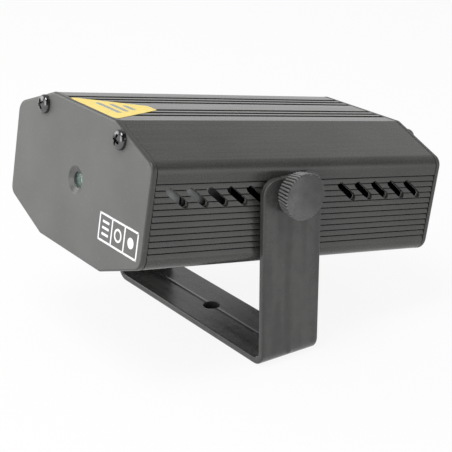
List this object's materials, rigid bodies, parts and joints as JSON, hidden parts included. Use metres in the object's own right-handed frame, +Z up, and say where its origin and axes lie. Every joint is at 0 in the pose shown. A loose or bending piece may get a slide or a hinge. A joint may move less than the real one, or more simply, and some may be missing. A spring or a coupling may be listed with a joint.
{
  "type": "laser show projector",
  "caption": "Small laser show projector: a vented eight-sided housing with plate ends, tilting between thumb knobs in a U bracket.",
  "frame": {"origin": "centre of the bracket's mounting hole on the underside of its base", "axes": "+Z up out of the base, +X along the base's short side to the rear, beam towards -X, +Y along the tilt axis"},
  "size_m": [0.1433, 0.1148, 0.0923],
  "materials": {
    "bracket_plastic": "fine moulded satin",
    "housing_paint": "satin dark grey paint",
    "plate_paint": "satin mid grey paint",
    "bright_steel": "bright nickel",
    "knob_plastic": "satin moulded",
    "stud_steel": "zinc plated",
    "insert_brass": "turned",
    "optic_glass": "clear",
    "mirror_glass": "polished",
    "bare_aluminium": "bare milled",
    "black_aluminium": "black anodised",
    "black_plastic": "moulded",
    "button_plastic": "satin moulded",
    "speed_shaft_steel": "turned",
    "grommet_rubber": "matte",
    "board_laminate": "solder mask",
    "socket_plastic": "moulded",
    "lead_insulation": "smooth"
  },
  "bodies": {
    "bracket": {"bracket": "bracket_plastic"},
    "head": {"housing_shell": "housing_paint", "front_plate": "plate_paint", "rear_plate": "plate_paint", "front_screw_near": "bright_steel", "front_screw_far": "bright_steel", "rear_screw_near": "bright_steel", "rear_screw_far": "bright_steel", "grating_motor": "stud_steel", "board_screw_1": "stud_steel", "board_screw_2": "stud_steel", "board_screw_3": "stud_steel", "board_screw_4": "stud_steel", "near_insert": "insert_brass", "far_insert": "insert_brass", "board_standoff_1": "insert_brass", "board_standoff_2": "insert_brass", "board_standoff_3": "insert_brass", "board_standoff_4": "insert_brass", "jack_pin": "insert_brass", "aperture_lens": "optic_glass", "combiner_glass": "optic_glass", "fold_mirror": "mirror_glass", "optics_bench": "bare_aluminium", "fold_mirror_block": "bare_aluminium", "combiner_post": "bare_aluminium", "motor_mount": "bare_aluminium", "lens_retainer": "bare_aluminium", "green_laser": "black_aluminium", "green_laser_mount": "black_aluminium", "red_laser": "black_aluminium", "red_laser_mount": "black_aluminium", "power_jack": "black_plastic", "mode_switch": "black_plastic", "speed_control": "black_plastic", "driver_chip": "black_plastic", "board_capacitor": "black_plastic", "microphone": "speed_shaft_steel", "microphone_grommet": "grommet_rubber", "control_board": "board_laminate", "green_socket": "socket_plastic", "red_socket": "socket_plastic", "motor_socket": "socket_plastic", "green_leads": "lead_insulation", "red_leads": "lead_insulation", "motor_leads": "lead_insulation"},
    "near_washer": {"near_washer": "stud_steel"},
    "near_knob": {"near_knob": "knob_plastic", "near_stud": "stud_steel"},
    "far_washer": {"far_washer": "stud_steel"},
    "far_knob": {"far_knob": "knob_plastic", "far_stud": "stud_steel"},
    "grating": {"grating_disc": "optic_glass", "grating_rim": "black_plastic", "grating_hub": "black_plastic", "motor_shaft": "stud_steel"},
    "mode_button": {"mode_button": "button_plastic"},
    "speed_knob": {"speed_knob": "black_plastic", "speed_shaft": "speed_shaft_steel"}
  },
  "joints": [
    {"name": "head_tilt", "type": "hinge", "parent": "bracket", "child": "head", "pos_m": [0, 0, 0.0645], "axis": [0, 1, 0], "range_deg": [-49.7, 16]},
    {"name": "near_screw_travel", "type": "slide", "parent": "head", "child": "near_washer", "axis": [0, -1, 0], "range_m": [0, 0.0016]},
    {"name": "near_knob_turn", "type": "hinge", "parent": "near_washer", "child": "near_knob", "pos_m": [0, 0, 0.0645], "axis": [0, -1, 0], "range_deg": [0, 720]},
    {"name": "far_screw_travel", "type": "slide", "parent": "head", "child": "far_washer", "axis": [0, 1, 0], "range_m": [0, 0.0016]},
    {"name": "far_knob_turn", "type": "hinge", "parent": "far_washer", "child": "far_knob", "pos_m": [0, 0, 0.0645], "axis": [0, 1, 0], "range_deg": [0, 720]},
    {"name": "grating_spin", "type": "hinge", "parent": "head", "child": "grating", "pos_m": [-0.04669, 0.0088, 0.06437], "axis": [0.9857, 0, -0.1685], "continuous": true},
    {"name": "mode_press", "type": "slide", "parent": "head", "child": "mode_button", "axis": [-0.9857, 0, 0.1685], "range_m": [0, 0.0008], "stiffness_N_per_m": 1500, "springref_m": -0.0005},
    {"name": "speed_turn", "type": "hinge", "parent": "head", "child": "speed_knob", "pos_m": [0.07144, -0.02284, 0.04326], "axis": [0.9857, 0, -0.1685], "range_deg": [-150, 150]}
  ],
  "couplings": [
    {"joint": "near_knob_turn", "follows": "near_screw_travel", "rad_per_m": 7854},
    {"joint": "far_knob_turn", "follows": "far_screw_travel", "rad_per_m": 7854}
  ]
}
